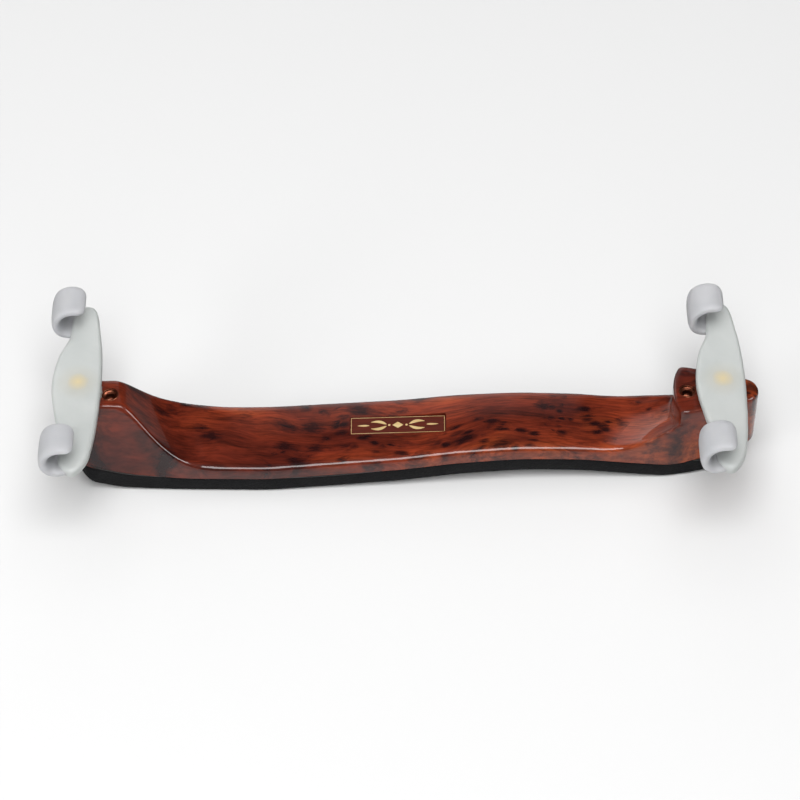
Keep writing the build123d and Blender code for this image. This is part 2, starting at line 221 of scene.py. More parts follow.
def outwards(piece, crease_deg=40):
    """Merges doubles, turns the faces outwards, and keeps edges sharper than a crease angle."""
    work = bmesh.new()
    work.from_mesh(piece.data)
    bmesh.ops.remove_doubles(work, verts=work.verts, dist=2e-6)
    bmesh.ops.recalc_face_normals(work, faces=work.faces)
    work.to_mesh(piece.data)
    work.free()
    piece.data.shade_smooth()
    piece.data.set_sharp_from_angle(angle=math.radians(crease_deg))
    return piece


def joined(name, pieces):
    """One object from several, in order."""
    points, faces, start = [], [], 0
    for piece in pieces:
        points += [v.co.copy() for v in piece.data.vertices]
        faces += [[start + i for i in p.vertices] for p in piece.data.polygons]
        start = len(points)
    whole = mesh_piece(name, points, faces, pieces[0].data.materials[0])
    for piece in pieces:
        bpy.data.objects.remove(piece)
    return whole


def closed_spline(points, count):
    """A smooth closed curve through points, as evenly spaced samples."""
    pts = np.asarray(points, float)
    n = len(pts)
    samples = []
    for i in range(n):
        p0, p1, p2, p3 = (pts[(i + k) % n] for k in (-1, 0, 1, 2))
        spans = [np.linalg.norm(b - a) ** 0.5 for a, b in ((p0, p1), (p1, p2), (p2, p3))]
        t0, t1, t2, t3 = np.cumsum([0] + spans)
        for t in np.linspace(t1, t2, 24, endpoint=False):
            a1 = p0 * (t1 - t) / (t1 - t0) + p1 * (t - t0) / (t1 - t0)
            a2 = p1 * (t2 - t) / (t2 - t1) + p2 * (t - t1) / (t2 - t1)
            a3 = p2 * (t3 - t) / (t3 - t2) + p3 * (t - t2) / (t3 - t2)
            b1 = a1 * (t2 - t) / (t2 - t0) + a2 * (t - t0) / (t2 - t0)
            b2 = a2 * (t3 - t) / (t3 - t1) + a3 * (t - t1) / (t3 - t1)
            samples.append(b1 * (t2 - t) / (t2 - t1) + b2 * (t - t1) / (t2 - t1))
    loop = np.array(samples + samples[:1])
    along = np.concatenate([[0], np.cumsum(np.linalg.norm(np.diff(loop, axis=0), axis=1))])
    even = np.linspace(0, along[-1], count, endpoint=False)
    return np.stack([np.interp(even, along, loop[:, k]) for k in (0, 1)], axis=1)


def inset(loop, amount):
    """A closed plan loop moved inwards by an amount."""
    ahead = np.roll(loop, -1, axis=0) - np.roll(loop, 1, axis=0)
    normal = np.stack([ahead[:, 1], -ahead[:, 0]], axis=1)
    normal /= np.linalg.norm(normal, axis=1)[:, None]
    area = np.sum(loop[:, 0] * np.roll(loop[:, 1], -1) - loop[:, 1] * np.roll(loop[:, 0], -1))
    return loop - normal * amount * (1 if area > 0 else -1)


def rounded_slab(loop, low, high, low_round, high_round, steps=5):
    """Rings of a slab on a plan loop, with rounded rims: heights may be numbers or one value a point."""
    rings = []
    for i in range(steps + 1):
        turn = math.pi / 2 * i / steps
        ring = inset(loop, low_round * (1 - math.sin(turn)))
        height = low + low_round * (1 - math.cos(turn))
        rings.append(np.column_stack([ring, np.broadcast_to(height, len(ring))]))
    for i in range(steps + 1):
        turn = math.pi / 2 * i / steps
        ring = inset(loop, high_round * (1 - math.cos(turn)))
        height = high - high_round * (1 - math.sin(turn))
        rings.append(np.column_stack([ring, np.broadcast_to(height, len(ring))]))
    return rings


# ---- Shader helpers ---------------------------------------------------------------------------------------

class Nodes:
    """Short calls for building one material's or one group's node tree."""

    def __init__(self, tree):
        self.tree = tree

    def add(self, kind, inputs=(), **settings):
        node = self.tree.nodes.new(kind)
        for key, value in settings.items():
            setattr(node, key, value)
        for key, value in dict(inputs).items():
            if isinstance(value, bpy.types.NodeSocket):
                self.tree.links.new(value, node.inputs[key])
            else:
                node.inputs[key].default_value = value
        return node

    def math(self, operation, a, b=0.0, c=0.0):
        return self.add("ShaderNodeMath", {0: a, 1: b, 2: c}, operation=operation).outputs[0]

    def mix(self, factor, a, b, blend="MIX"):
        node = self.add("ShaderNodeMix", {"Factor": factor}, data_type="RGBA", blend_type=blend)
        for socket, value in ((node.inputs[6], a), (node.inputs[7], b)):
            if isinstance(value, bpy.types.NodeSocket):
                self.tree.links.new(value, socket)
            else:
                socket.default_value = value
        return node.outputs[2]

    def ramp(self, factor, *stops):
        """A colour ramp from (place, grey or colour) stops."""
        node = self.add("ShaderNodeValToRGB", {"Fac": factor})
        elements = node.color_ramp.elements
        while len(elements) < len(stops):
            elements.new(0.5)
        for element, (place, value) in zip(elements, stops):
            element.position = place
            element.color = (value, value, value, 1) if isinstance(value, (int, float)) else value
        return node.outputs[0]

    def noise(self, vector, scale, detail=2.0, roughness=0.5, distortion=0.0):
        return self.add("ShaderNodeTexNoise", {
            "Vector": vector, "Scale": scale, "Detail": detail, "Roughness": roughness,
            "Distortion": distortion,
        })

    def stretch(self, vector, scale=(1, 1, 1), rotation=(0, 0, 0), location=(0, 0, 0)):
        return self.add("ShaderNodeMapping", {
            "Vector": vector, "Scale": scale, "Rotation": rotation, "Location": location,
        }).outputs[0]


def rgb(r, g, b):
    """A colour as an eye reads it, 0 to 255, in the renderer's linear values."""
    linear = [(c / 255 / 12.92) if c <= 10 else ((c / 255 + 0.055) / 1.055) ** 2.4 for c in (r, g, b)]
    return (*linear, 1.0)


def new_material(name):
    """A material with a Principled shader, its node helper and the shader."""
    material = bpy.data.materials.new(name)
    material.use_nodes = True
    nodes = Nodes(material.node_tree)
    return material, nodes, material.node_tree.nodes["Principled BSDF"]


def new_group(name, inputs, outputs):
    """A shader group with named inputs and outputs, its helper, and its input and output nodes."""
    group = bpy.data.node_groups.new(name, "ShaderNodeTree")
    for label, kind, value in inputs:
        socket = group.interface.new_socket(label, in_out="INPUT", socket_type=kind)
        if value is not None:
            socket.default_value = value
    for label, kind in outputs:
        group.interface.new_socket(label, in_out="OUTPUT", socket_type=kind)
    nodes = Nodes(group)
    return group, nodes, nodes.add("NodeGroupInput"), nodes.add("NodeGroupOutput")


def make_handling_group():
    """Fine unevenness of a handled surface: faint smudges for roughness, and a height for bump."""
    group, n, given, out = new_group(
        "handled surface",
        [("Vector", "NodeSocketVector", None), ("Smudge Scale", "NodeSocketFloat", 60.0),
         ("Grain Scale", "NodeSocketFloat", 2500.0), ("Low", "NodeSocketFloat", 0.2),
         ("High", "NodeSocketFloat", 0.4)],
        [("Roughness", "NodeSocketFloat"), ("Height", "NodeSocketFloat")],
    )
    smudge = n.noise(given.outputs["Vector"], given.outputs["Smudge Scale"], 4.0, 0.6, 0.4).outputs[0]
    span = n.math("SUBTRACT", given.outputs["High"], given.outputs["Low"])
    level = n.ramp(smudge, (0.3, 0.0), (0.7, 1.0))
    roughness = n.math("MULTIPLY_ADD", level, span, given.outputs["Low"])
    grain = n.noise(given.outputs["Vector"], given.outputs["Grain Scale"], 3.0, 0.6).outputs[0]
    n.tree.links.new(roughness, out.inputs["Roughness"])
    n.tree.links.new(grain, out.inputs["Height"])
    return group


HANDLED = make_handling_group()


def handled(n, vector, smudge_scale, grain_scale, low, high):
    """Places the handled-surface group and returns its roughness and height."""
    node = n.add("ShaderNodeGroup", node_tree=HANDLED)
    n.tree.links.new(vector, node.inputs["Vector"])
    values = {"Smudge Scale": smudge_scale, "Grain Scale": grain_scale, "Low": low, "High": high}
    for label, value in values.items():
        node.inputs[label].default_value = value
    return node.outputs["Roughness"], node.outputs["Height"]


def object_vector(n):
    return n.add("ShaderNodeTexCoord").outputs["Object"]


def bump(n, shader, height, strength, distance):
    node = n.add("ShaderNodeBump", {"Height": height, "Strength": strength, "Distance": distance})
    n.tree.links.new(node.outputs[0], shader.inputs["Normal"])


# ---- Materials --------------------------------------------------------------------------------------------

BURL_SHADOW = rgb(58, 18, 12)
BURL_DARK = rgb(92, 32, 18)
BURL_WARM = rgb(119, 45, 23)
BURL_LIGHT = rgb(152, 68, 31)
BURL_STAIN = rgb(50, 14, 12)
BURL_EYE = rgb(22, 6, 8)
SWAY_REACH = 0.022           # metres that the grain is swept aside by
LACQUER_COAT = 0.85
GLASSY = 0.025
WALL_SHADE = 0.88            # share of the colour that steep faces keep


def make_burl_lacquer():
    """Reddish-brown burl under clear gloss: flowing grain, warm and dark drifts, and crowds of dark eyes."""
    material, n, shader = new_material("burl_lacquer")
    place = object_vector(n)
    sway = n.noise(place, 16.0, 3.0, 0.55).outputs["Color"]
    centred = n.add("ShaderNodeVectorMath", {0: sway, 1: (0.5, 0.5, 0.5)}, operation="SUBTRACT").outputs[0]
    shift = n.add("ShaderNodeVectorMath", {0: centred, "Scale": SWAY_REACH}, operation="SCALE").outputs[0]
    flowed = n.add("ShaderNodeVectorMath", {0: place, 1: shift}, operation="ADD").outputs[0]

    drift = n.noise(n.stretch(flowed, (15, 38, 20)), 1.0, 3.0, 0.6).outputs[0]
    streak = n.noise(n.stretch(flowed, (50, 330, 120)), 1.0, 4.0, 0.65).outputs[0]
    thread = n.noise(n.stretch(flowed, (150, 1500, 500)), 1.0, 2.0, 0.6).outputs[0]
    base = n.ramp(
        drift, (0.30, BURL_SHADOW), (0.43, BURL_DARK), (0.55, BURL_WARM), (0.70, BURL_LIGHT),
    )
    dark_streak = n.ramp(streak, (0.32, 0.38), (0.48, 0.9), (0.62, 1.16), (0.75, 1.3))
    grained = n.mix(1.0, base, dark_streak, "MULTIPLY")
    fine = n.ramp(thread, (0.34, 0.66), (0.5, 0.96), (0.66, 1.2))
    grained = n.mix(1.0, grained, fine, "MULTIPLY")

    def spots(scale, seed, low, high, share, ragged):
        """Dark spots with ragged rims in a share of a pattern's cells, as their cover from 0 to 1."""
        near = n.stretch(flowed, (scale * 0.6, scale, scale * 0.05), location=(seed, seed * 0.7, seed * 1.3))
        cell = n.add("ShaderNodeTexVoronoi", {"Vector": near, "Scale": 1.0, "Randomness": 1.0})
        chosen = n.add("ShaderNodeSeparateColor", {"Color": cell.outputs["Color"]})
        has = n.math("GREATER_THAN", chosen.outputs[0], 1.0 - share)
        rough = n.noise(n.stretch(flowed, (420, 1500, 420)), 1.0, 4.0, 0.7).outputs[0]
        distance = n.math("MULTIPLY_ADD", n.math("SUBTRACT", rough, 0.5), ragged, cell.outputs["Distance"])
        size = n.math("MULTIPLY_ADD", chosen.outputs[1], 0.6, 0.65)
        return n.math("MULTIPLY", n.ramp(n.math("DIVIDE", distance, size), (low, 1.0), (high, 0.0)), has)

    crowd = spots(66.0, 5.3, 0.15, 0.66, 0.95, 0.45)
    crowded = n.ramp(crowd, (0.1, 0.0), (0.4, 1.0))
    inner = n.math("MULTIPLY", spots(330.0, 8.7, 0.22, 0.52, 0.85, 0.55), crowded)
    lone = n.math("MULTIPLY", spots(150.0, 3.1, 0.14, 0.40, 0.75, 0.6), 0.95)
    stained = n.mix(n.math("MULTIPLY", crowd, 0.55), grained, BURL_STAIN)
    figured = n.mix(n.math("MULTIPLY", n.math("MAXIMUM", inner, lone), 0.92), stained, BURL_EYE)
    facing = n.add("ShaderNodeTexCoord").outputs["Normal"]
    upright = n.math("ABSOLUTE", n.add("ShaderNodeSeparateXYZ", {"Vector": facing}).outputs["Z"])
    figured = n.mix(1.0, figured, n.ramp(upright, (0.25, WALL_SHADE), (0.85, 1.0)), "MULTIPLY")
    n.tree.links.new(figured, shader.inputs["Base Color"])
    roughness, _ = handled(n, place, 22.0, 900.0, 0.30, 0.38)
    n.tree.links.new(roughness, shader.inputs["Roughness"])
    shader.inputs["Coat Weight"].default_value = LACQUER_COAT
    shader.inputs["Coat Roughness"].default_value = GLASSY
    shader.inputs["Coat IOR"].default_value = 1.5
    shader.inputs["Specular IOR Level"].default_value = 0.06
    return material


PORE_SCALE = 1300.0


def make_black_foam():
    """Closed-cell foam: almost black, matt, with fine open pores."""
    material, n, shader = new_material("black_foam")
    place = object_vector(n)
    cells = n.add("ShaderNodeTexVoronoi", {"Vector": place, "Scale": PORE_SCALE, "Randomness": 1.0})
    pores = cells.outputs["Distance"]
    patch = n.noise(place, 90.0, 4.0, 0.6).outputs[0]
    colour = n.mix(n.ramp(patch, (0.3, 0.0), (0.7, 1.0)), rgb(6, 6, 7), rgb(13, 13, 15))
    colour = n.mix(n.ramp(pores, (0.1, 0.7), (0.4, 0.0)), colour, rgb(3, 3, 3))
    n.tree.links.new(colour, shader.inputs["Base Color"])
    roughness, grain = handled(n, place, 120.0, 4200.0, 0.82, 0.95)
    n.tree.links.new(roughness, shader.inputs["Roughness"])
    height = n.math("MULTIPLY_ADD", grain, 0.4, pores)
    bump(n, shader, height, 0.7, 0.0003)
    shader.inputs["Specular IOR Level"].default_value = 0.25
    return material


# painted light: the brass collar as it shows through the frosted fork, as a warm glow, a pale disc over its
# face and a darker ring at its rim
PAINTED_COLLAR_GLOW = rgb(198, 186, 152)
PAINTED_COLLAR_FACE = rgb(224, 206, 160)
PAINTED_COLLAR_RIM = rgb(164, 134, 84)
RIGID_DEPTH = 0.06           # share of light that scatters inside the rigid fork
SOFT_DEPTH = 0.9             # and inside the soft claws and the wheels


def make_frosted(name, body_colour, edge_colour, low, high, clearness, collar=None):
    """Frosted translucent plastic: milky, faintly clouded, with moulded grain. Over a collar it has a warm
    painted glow.
    """
    material, n, shader = new_material(name)
    place = object_vector(n)
    cloud = n.noise(place, 75.0, 4.0, 0.55, 0.6).outputs[0]
    colour = n.mix(n.ramp(cloud, (0.32, 0.0), (0.68, 1.0)), body_colour, edge_colour)
    if collar:
        away = n.stretch(place, (1, 1, 0), location=(-collar.x, -collar.y, 0))
        wavy = n.math("MULTIPLY", n.noise(place, 500.0, 2.0).outputs[0], 0.0009)
        plain = n.add("ShaderNodeVectorMath", {0: away}, operation="LENGTH").outputs["Value"]
        radius = n.math("ADD", plain, wavy)
        # painted glow round the collar
        painted_glow = n.ramp(radius, (0.0026, 0.8), (0.0034, 0.45), (0.0042, 0.0))
        colour = n.mix(painted_glow, colour, PAINTED_COLLAR_GLOW)
        # painted pale disc over the collar's face
        face = n.ramp(radius, (0.0017, 0.9), (0.0020, 0.0))
        colour = n.mix(face, colour, PAINTED_COLLAR_FACE)
        # painted darker ring at the collar's rim
        rim = n.ramp(radius, (0.0016, 0.0), (0.0018, 0.7), (0.0020, 0.7), (0.0022, 0.0))
        colour = n.mix(rim, colour, PAINTED_COLLAR_RIM)
    n.tree.links.new(colour, shader.inputs["Base Color"])
    roughness, grain = handled(n, place, 55.0, 2600.0, low, high)
    n.tree.links.new(roughness, shader.inputs["Roughness"])
    bump(n, shader, grain, 0.16, 0.0002)
    shader.inputs["Transmission Weight"].default_value = clearness
    shader.inputs["IOR"].default_value = 1.46
    shader.inputs["Subsurface Weight"].default_value = RIGID_DEPTH if collar else SOFT_DEPTH
    shader.inputs["Subsurface Radius"].default_value = (0.004, 0.004, 0.0042)
    shader.inputs["Subsurface Scale"].default_value = 1.0
    return material


def make_brass(name, bright, dulled, low, high):
    """Turned brass: warm, with fine lathe lines and slightly dulled patches."""
    material, n, shader = new_material(name)
    place = object_vector(n)
    dull = n.noise(place, 420.0, 3.0, 0.6).outputs[0]
    colour = n.mix(n.ramp(dull, (0.3, 0.0), (0.7, 1.0)), bright, dulled)
    n.tree.links.new(colour, shader.inputs["Base Color"])
    shader.inputs["Metallic"].default_value = 1.0
    roughness, _ = handled(n, place, 300.0, 5200.0, low, high)
    n.tree.links.new(roughness, shader.inputs["Roughness"])
    lathe = n.noise(n.stretch(place, (300, 300, 9000)), 1.0, 1.0).outputs[0]
    bump(n, shader, lathe, 0.25, 0.0001)
    return material


def make_gilt_foil(name, first, second, metallic, low, high):
    """Printed foil: a dark gilt ground or a bright gilt ornament, with a slight brushed grain."""
    material, n, shader = new_material(name)
    place = object_vector(n)
    brushed = n.noise(n.stretch(place, (140, 2400, 2400)), 1.0, 2.0).outputs[0]
    colour = n.mix(n.ramp(brushed, (0.35, 0.0), (0.65, 1.0)), first, second)
    n.tree.links.new(colour, shader.inputs["Base Color"])
    shader.inputs["Metallic"].default_value = metallic
    roughness, grain = handled(n, place, 260.0, 5000.0, low, high)
    n.tree.links.new(roughness, shader.inputs["Roughness"])
    bump(n, shader, grain, 0.1, 0.0001)
    shader.inputs["Specular IOR Level"].default_value = 0.2
    shader.inputs["Coat Weight"].default_value = 0.12
    shader.inputs["Coat Roughness"].default_value = 0.08
    return material


def make_adhesive():
    """The film's edge: dark, slightly shiny, with a faint fibre."""
    material, n, shader = new_material("adhesive_film")
    place = object_vector(n)
    fibre = n.noise(n.stretch(place, (200, 1800, 1800)), 1.0, 2.0).outputs[0]
    n.tree.links.new(n.mix(fibre, rgb(26, 24, 24), rgb(46, 42, 40)), shader.inputs["Base Color"])
    roughness, _ = handled(n, place, 200.0, 3000.0, 0.45, 0.6)
    n.tree.links.new(roughness, shader.inputs["Roughness"])
    return material


CLEARNESS = 0.3
BURL = make_burl_lacquer()
FOAM = make_black_foam()
FORKS = {
    side: make_frosted(
        side + "_frosted_plastic", rgb(203, 206, 204), rgb(193, 197, 195), 0.34, 0.5, CLEARNESS,
        box_middle(side + "_collar"),
    )
    for side in ("left", "right")
}
CLAW = make_frosted("frosted_rubber", rgb(198, 198, 200), rgb(187, 188, 191), 0.45, 0.62, CLEARNESS)
WHEEL = make_frosted("wheel_plastic", rgb(222, 220, 214), rgb(210, 208, 202), 0.3, 0.45, CLEARNESS)
BRASS = make_brass("brass", rgb(214, 176, 112), rgb(178, 138, 82), 0.22, 0.38)
FOIL = make_gilt_foil("gilt_foil", rgb(84, 29, 16), rgb(70, 24, 15), 0.1, 0.34, 0.46)
GILT = make_gilt_foil("gilt_ornament", rgb(238, 212, 156), rgb(216, 184, 122), 0.55, 0.3, 0.42)
ADHESIVE = make_adhesive()
BRONZE = make_brass("bronzed_brass", rgb(158, 98, 74), rgb(104, 56, 42), 0.3, 0.45)
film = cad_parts["pad_adhesive"]
film.data.materials.clear()
film.data.materials.append(ADHESIVE)


# ---- Body -------------------------------------------------------------------------------------------------

def bezier(a, control, b, count):
    """Points of a quadratic curve, without its last point."""
    t = np.linspace(0, 1, count, endpoint=False)[:, None]
    return (1 - t) ** 2 * np.array(a) + 2 * t * (1 - t) * np.array(control) + t ** 2 * np.array(b)


def towards(start, end, distance):
    start, end = np.array(start), np.array(end)
    return start + (end - start) * distance / np.linalg.norm(end - start)


def plate_ring(x, curves):
    """One closed cross-section of the plate at x, as (y, z) points of equal count."""
    front, back, under, front_climb, back_climb, front_draw, back_draw, dish = curves
    tower = LEFT_TOWER_TOP + TOWER_STOCK if x < 0 else RIGHT_TOWER_TOP
    top = under + PLATE_THICKNESS
    ridge = (front + (LEFT_TOWER_FRONT - front) * front_draw, top + (tower - top) * front_climb)
    back_top = (back + (LEFT_TOWER_BACK - back) * back_draw, top + (tower - top) * back_climb)
    bow = ((ridge[0] + back_top[0]) / 2, (ridge[1] + back_top[1]) / 2 - 2 * dish)
    a, b = (front, under - UNDER_STOCK), (back, under - UNDER_STOCK)
    back_roll = (towards(back_top, b, EDGE_ROLL), towards(back_top, bow, EDGE_ROLL))
    front_roll = (towards(ridge, bow, EDGE_ROLL), towards(ridge, a, EDGE_ROLL))
    ring = np.concatenate([
        bezier(a, np.add(a, b) / 2, b, 14),
        bezier(b, np.add(b, back_roll[0]) / 2, back_roll[0], 10),
        bezier(back_roll[0], back_top, back_roll[1], 6),
        bezier(back_roll[1], bow, front_roll[0], 24),
        bezier(front_roll[0], ridge, front_roll[1], 6),
        bezier(front_roll[1], np.add(front_roll[1], a) / 2, a, 10),
    ])
    if x < 0:
        ring[:, 1] = np.minimum(ring[:, 1], LEFT_TOWER_TOP)
    return ring


def make_plate():
    """The S-shaped plate and left tower, with the left end rounded off."""
    xs = np.arange(BODY_LEFT, PLATE_RIGHT, STATION_STEP)
    profiles = (FRONT_EDGE, BACK_EDGE, UNDERSIDE, FRONT_CLIMB, BACK_CLIMB, FRONT_DRAW, BACK_DRAW, DISH)
    curves = np.array([flow(points, xs) for points in profiles])
    rings = []
    for i, x in enumerate(xs):
        ring = plate_ring(x, curves[:, i])
        near_end = min(1.0, max(0.0, (BODY_LEFT + END_ROUND - x) / END_ROUND))
        shrink = 1 - END_DRAW * (1 - math.sqrt(1 - near_end ** 2))
        middle = (ring[:, 0].max() + ring[:, 0].min()) / 2
        ring[:, 0] = middle + (ring[:, 0] - middle) * shrink
        rings.append(np.column_stack([np.full(len(ring), x), ring]))
    points = placed(np.concatenate(rings))
    return mesh_piece("plate", points, tube_faces(len(rings), len(rings[0])), BURL)


def tower_loop(count=220):
    """Plan of the right tower: a tear shape with a bowed broad end."""
    run = TOWER_TIP_X - TOWER_BROAD_X
    half = math.atan2(TOWER_BROAD_HALF - TOWER_TIP_RADIUS, run)
    tip = [
        (TOWER_TIP_X + TOWER_TIP_RADIUS * math.cos(t), TOWER_Y + TOWER_TIP_RADIUS * math.sin(t))
        for t in np.linspace(-math.pi / 2 + half, math.pi / 2 - half, 13)
    ]
    corner_x = TOWER_BROAD_X + TOWER_BROAD_BULGE
    side = TOWER_BROAD_HALF
    cut = TOWER_CORNER
    back = [
        (corner_x + cut, TOWER_Y + side - cut * math.sin(half)),
        (corner_x + cut * 0.3, TOWER_Y + side - cut * 0.3),
        (corner_x - cut * 0.15, TOWER_Y + side - cut),
    ]
    bow = [
        (TOWER_BROAD_X + TOWER_BROAD_BULGE * (away / side) ** 2, TOWER_Y + away)
        for away in (side / 2, 0.0, -side / 2)
    ]
    front = [(x, 2 * TOWER_Y - y) for x, y in reversed(back)]
    return closed_spline(tip + back + bow + front, count)


def make_right_tower():
    """The tear-shaped tower, from the underside up to its rounded lip."""
    loop = tower_loop()
    under = flow(UNDERSIDE, loop[:, 0]) - UNDER_STOCK
    rings = [np.column_stack([loop, under])]
    rings += rounded_slab(loop, under, RIGHT_TOWER_TOP, 0.0, TOWER_LIP)[6:]
    points = placed(np.concatenate(rings))
    return mesh_piece("tower", points, tube_faces(len(rings), len(loop)), BURL)


def insert_centres():
    """Centre and top of each insert's bore, read from the frame."""
    for name in ("insert_left_outer", "insert_left_inner", "insert_right_inner", "insert_right_outer"):
        low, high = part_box(name)
        yield name, Vector(((low.x + high.x) / 2, (low.y + high.y) / 2, high.z)), high.z - low.z


def cylinder(name, centre, low, high, radius, material, count=64):
    """A plain closed cylinder, used as a cutting tool."""
    turns = np.linspace(0, 2 * math.pi, count, endpoint=False)
    xs = centre.x + radius * np.cos(turns)
    ys = centre.y + radius * np.sin(turns)
    rings = [np.column_stack([xs, ys, np.full(count, z)]) for z in (low, high)]
    return mesh_piece(name, np.concatenate(rings), tube_faces(2, count), material)


def cut_out(piece, tool):
    """Takes a tool's shape out of a piece."""
    cut = piece.modifiers.new("cut", "BOOLEAN")
    cut.operation = "DIFFERENCE"
    cut.solver = "EXACT"
    cut.object = tool
    baked(piece)
    bpy.data.objects.remove(tool)
    return piece


def under_tool():
    """Everything below the underside's curve, as a cutting tool."""
    xs = np.linspace(-115.0, 118.0, 240)
    heights = flow(UNDERSIDE, xs)
    rings = [
        [(x, -60.0, -30.0), (x, 20.0, -30.0), (x, 20.0, z), (x, -60.0, z)] for x, z in zip(xs, heights)
    ]
    return mesh_piece("under", placed(np.concatenate(rings)), tube_faces(len(rings), 4), BURL)


def make_body():
    """Plate and tower melted into one softened skin, with the insert holes and the emblem's recess cut."""
    body = joined("burl_body", [make_plate(), make_right_tower()])
    melt = body.modifiers.new("melt", "REMESH")
    melt.mode = "VOXEL"
    melt.voxel_size = SKIN_VOXEL * MM
    soften = body.modifiers.new("soften", "SMOOTH")
    soften.factor = 0.5
    soften.iterations = SKIN_SOFTENING
    baked(body)
    cut_out(body, under_tool())
    for _, centre, length in insert_centres():
        bore = cylinder("bore", centre, centre.z - length, centre.z + length, INSERT_RADIUS * MM, BURL)
        cut_out(body, bore)
    recess = round_rectangle(
        EMBLEM_LENGTH + 2 * EMBLEM_GAP, EMBLEM_WIDTH + 2 * EMBLEM_GAP, EMBLEM_CORNER + EMBLEM_GAP,
    )
    cut_out(body, slab_on_emblem("recess", recess, 0.0, 4.0, BURL))
    outwards(body, 35)
    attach(body, "rest_body")
    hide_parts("body")
    return body


# ---- Emblem -----------------------------------------------------------------------------------------------

def emblem_frame():
    """Turns the emblem plate's own millimetres, from the middle of its lower face, into the frame."""
    middle = box_middle("emblem_plate")
    tilted = Matrix.Translation(middle) @ Matrix.Rotation(math.radians(-EMBLEM_TILT), 4, "Y")
    return tilted @ Matrix.Diagonal((MM, MM, MM, 1)) @ Matrix.Translation((0, 0, -EMBLEM_THICKNESS / 2))


def slab_on_emblem(name, outline, low, high, material, soft=0.0):
    """A flat shape on the emblem plate, between two heights, with a softened upper edge."""
    loop = np.asarray(outline, float)
    rings = [np.column_stack([loop, np.full(len(loop), z)]) for z in (low, high - soft)]
    if soft:
        rings.append(np.column_stack([inset(loop, soft), np.full(len(loop), high)]))
    turn = emblem_frame()
    points = [turn @ Vector(tuple(p)) for p in np.concatenate(rings)]
    return mesh_piece(name, points, tube_faces(len(rings), len(loop)), material)


def round_rectangle(length, width, corner, steps=8):
    """Outline of a rectangle with round corners."""
    points = []
    for k, (sx, sy) in enumerate(((1, 1), (-1, 1), (-1, -1), (1, -1))):
        for turn in np.linspace(k * math.pi / 2, (k + 1) * math.pi / 2, steps):
            x = sx * (length / 2 - corner) + corner * math.cos(turn)
            y = sy * (width / 2 - corner) + corner * math.sin(turn)
            points.append((x, y))
    return points


def leaf_shape(start, end, width, bend, count=26):
    """A tapering curved stroke from one point to another."""
    start, end = np.array(start, float), np.array(end, float)
    ahead = end - start
    side = np.array([-ahead[1], ahead[0]]) / np.linalg.norm(ahead)
    upper, lower = [], []
    for t in np.linspace(0, 1, count):
        middle = start + ahead * t + side * bend * math.sin(math.pi * t)
        half = width / 2 * math.sin(math.pi * t) ** 0.7 * (1.25 - 0.5 * t) + 0.02
        upper.append(middle + side * half)
        lower.append(middle - side * half)
    return upper + lower[::-1]


def disc_shape(x, y, radius, count=28):
    turns = np.linspace(0, 2 * math.pi, count, endpoint=False)
    return [(x + radius * math.cos(t), y + radius * math.sin(t)) for t in turns]


def ornament_shapes():
    """A plain scroll: a lozenge, beads and mirrored curved strokes, with a thin frame of four bars."""
    shapes = [[(1.7, 0.0), (0.0, 1.25), (-1.7, 0.0), (0.0, -1.25)]]
    for way in (1, -1):
        shapes.append(disc_shape(way * 2.7, 0.0, 0.38))
        for flip in (1, -1):
            start, end = (way * 3.5, 0.35 * flip), (way * 8.4, 1.3 * flip)
            shapes.append(leaf_shape(start, end, 1.0, 0.6 * way * flip))
        shapes.append(leaf_shape((way * 8.9, 0.0), (way * 12.6, 0.0), 0.6, 0.0))
    long, wide, bar = EMBLEM_LENGTH - 1.0, EMBLEM_WIDTH - 1.0, 0.13
    for way in (1, -1):
        level, upright = way * wide / 2, way * long / 2
        for left, right, low, high in (
            (-long / 2, long / 2, level - bar / 2, level + bar / 2),
            (upright - bar / 2, upright + bar / 2, -wide / 2, wide / 2),
        ):
            shapes.append([(left, low), (right, low), (right, high), (left, high)])
    return shapes


def make_emblem():
    """The foil plate in its recess and its raised gilt ornament."""
    outline = round_rectangle(EMBLEM_LENGTH, EMBLEM_WIDTH, EMBLEM_CORNER)
    plate = slab_on_emblem("emblem_foil", outline, 0.0, EMBLEM_THICKNESS, FOIL, 0.08)
    ornament = joined("emblem_ornament", [
        slab_on_emblem(
            "stroke", shape, EMBLEM_THICKNESS - ORNAMENT_SUNK, EMBLEM_THICKNESS + ORNAMENT_PROUD, GILT,
        )
        for shape in ornament_shapes()
    ])
    for piece in (plate, ornament):
        outwards(piece, 30)
        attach(piece, "rest_body")
        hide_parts("emblem_plate")


# ---- Foam pad ---------------------------------------------------------------------------------------------

